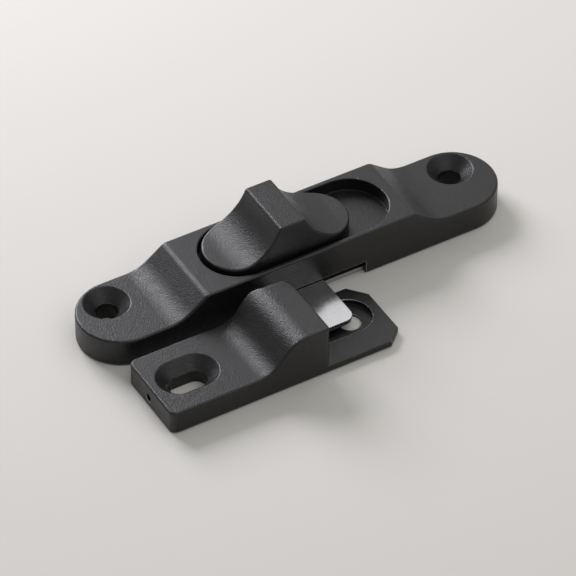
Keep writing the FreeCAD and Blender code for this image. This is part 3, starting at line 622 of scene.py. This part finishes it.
def set_screw(pitch):
    low, high = np.array(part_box("keeper_set_screw"))
    radius, length = (high[1] - low[1]) / 2, high[0] - low[0]
    cone_start = length - radius / 2
    profile = [
        (POLE, 0.0),
        (radius - SOCKET_RIM, 0.0),
        (radius, SOCKET_RIM),
        (radius, cone_start),
        (radius / 2, length),
        (POLE, length),
    ]
    points = screw_points(profile, (0.0, cone_start), pitch, hexagon_recess, SOCKET_SIZE, SOCKET_DEPTH)
    x, y, z = points[..., 0], points[..., 1], points[..., 2]
    middle = (low + high) / 2
    points = np.stack([low[0] + z, middle[1] + x, middle[2] + y], axis=-1)
    screw = grid_mesh("threaded_set_screw", points, BLACK_STEEL)
    stand_for(screw, "keeper_set_screw", "base")


set_screw(pitch=0.4 * MM)

# %% [markdown]
# ## Floor, light and camera
#
# The lock lies on a plain pale floor. A bright soft box stands low behind it, a little to the left, so
# that every surface that leans that way carries a soft band, and the sides towards the camera stay
# dark. A wide, dim panel behind and to the right is what the flat tops and the bolt mirror. A second
# one overhead draws the near edges and the walls of the screw holes. The pale room does the rest.

# %% Floor
FLOOR_HALF_SIDE = 3.0
FLOOR_Z = -0.02 * MM  # just under the lock's back, so that the two don't share a plane


def make_floor():
    material, tree, shader = start_material("pale_floor", (0.72, 0.705, 0.665), 0.0, 0.9)
    shader.inputs["Specular IOR Level"].default_value = 0.2
    mesh = bpy.data.meshes.new("floor")
    corners = [(x * FLOOR_HALF_SIDE, y * FLOOR_HALF_SIDE, FLOOR_Z)
               for x, y in ((-1, -1), (1, -1), (1, 1), (-1, 1))]
    mesh.from_pydata(corners, [], [(0, 1, 2, 3)])
    mesh.materials.append(material)
    floor = bpy.data.objects.new("floor", mesh)
    bpy.context.scene.collection.objects.link(floor)
    print("floor at z mm", round(FLOOR_Z / MM, 3))


make_floor()

# %% Lights
def soft_box(name, azimuth, elevation, distance, width, height, power, tone):
    """Area light aimed at the origin. Azimuth 0 is behind the lock (+Y) and 90 is at its right (+X)."""
    light = bpy.data.lights.new(name, "AREA")
    light.shape = "RECTANGLE"
    light.size, light.size_y = width, height
    light.energy = power
    light.color = tone
    lamp = bpy.data.objects.new(name, light)
    a, e = math.radians(azimuth), math.radians(elevation)
    place = distance * Vector((math.sin(a) * math.cos(e), math.cos(a) * math.cos(e), math.sin(e)))
    turn = place.to_track_quat("Z", "Y").to_matrix().to_4x4()
    lamp.matrix_world = Matrix.Translation(place) @ turn
    bpy.context.scene.collection.objects.link(lamp)
    print(name, power, "W at", tuple(round(v, 2) for v in place))


soft_box("back_box", azimuth=-7, elevation=32, distance=0.6, width=0.32, height=0.32, power=3.6,
         tone=(0.95, 0.94, 1.0))
soft_box("side_box", azimuth=38, elevation=36, distance=0.8, width=1.1, height=0.7, power=1.45,
         tone=(0.98, 0.98, 1.0))
soft_box("top_box", azimuth=150, elevation=65, distance=0.7, width=0.8, height=0.8, power=1.8,
         tone=(1.0, 0.99, 0.98))

# %% Room
def make_room(ambient, seen):
    """World of one pale tone: ambient lights the object, and seen is what the camera and gloss see."""
    world = bpy.data.worlds.new("pale_room")
    bpy.context.scene.world = world
    world.use_nodes = True
    tree = world.node_tree
    background = tree.nodes["Background"]
    background.inputs["Color"].default_value = (1.0, 0.99, 0.975, 1.0)
    path = add(tree, "ShaderNodeLightPath")
    either = math_node(tree, "MAXIMUM", path.outputs["Is Camera Ray"], path.outputs["Is Glossy Ray"])
    difference = math_node(tree, "MULTIPLY", either, seen - ambient)
    feed(tree, background.inputs["Strength"], math_node(tree, "ADD", difference, ambient))


make_room(ambient=0.2, seen=0.35)

# %% [markdown]
# The camera is long and far, so the lock is drawn almost without perspective. Its place is worked out
# from the angle that it looks along, its distance, and the pixel at which the origin lies.

# %% Camera
VIEW_AZIMUTH = 30.5  # degrees; 0 looks along +Y, and a positive angle looks to the right of it
VIEW_ELEVATION = 42.8  # degrees above the floor
VIEW_ROLL = 0.25  # degrees
VIEW_DISTANCE = 1.047
PIXELS_PER_METRE = 4654.0  # at the origin
PICTURE_SIDE = 576  # pixels
ORIGIN_PIXEL = (280.6, 258.05)
SENSOR_WIDTH = 36.0  # millimetres, as the lens is
CLIP_END = 10.0


def make_camera():
    a, e, r = (math.radians(v) for v in (VIEW_AZIMUTH, VIEW_ELEVATION, VIEW_ROLL))
    ahead = Vector((math.sin(a) * math.cos(e), math.cos(a) * math.cos(e), -math.sin(e)))
    level_right = Vector((math.cos(a), -math.sin(a), 0.0))
    level_up = level_right.cross(ahead)
    right = math.cos(r) * level_right + math.sin(r) * level_up
    up = right.cross(ahead)
    middle = PICTURE_SIDE / 2
    across, down = [(middle - pixel) / PIXELS_PER_METRE for pixel in ORIGIN_PIXEL]
    aim = right * across - up * down
    data = bpy.data.cameras.new("camera")
    data.sensor_width = SENSOR_WIDTH
    data.lens = PIXELS_PER_METRE * VIEW_DISTANCE * SENSOR_WIDTH / PICTURE_SIDE
    data.clip_end = CLIP_END
    camera = bpy.data.objects.new("camera", data)
    turn = Matrix(((right.x, up.x, -ahead.x), (right.y, up.y, -ahead.y), (right.z, up.z, -ahead.z)))
    camera.matrix_world = Matrix.Translation(aim - ahead * VIEW_DISTANCE) @ turn.to_4x4()
    bpy.context.scene.collection.objects.link(camera)
    bpy.context.scene.camera = camera
    place = camera.matrix_world.translation
    print("lens", round(data.lens, 1), "mm, at", tuple(round(v, 3) for v in place))


make_camera()
bpy.context.scene.view_settings.view_transform = "Standard"
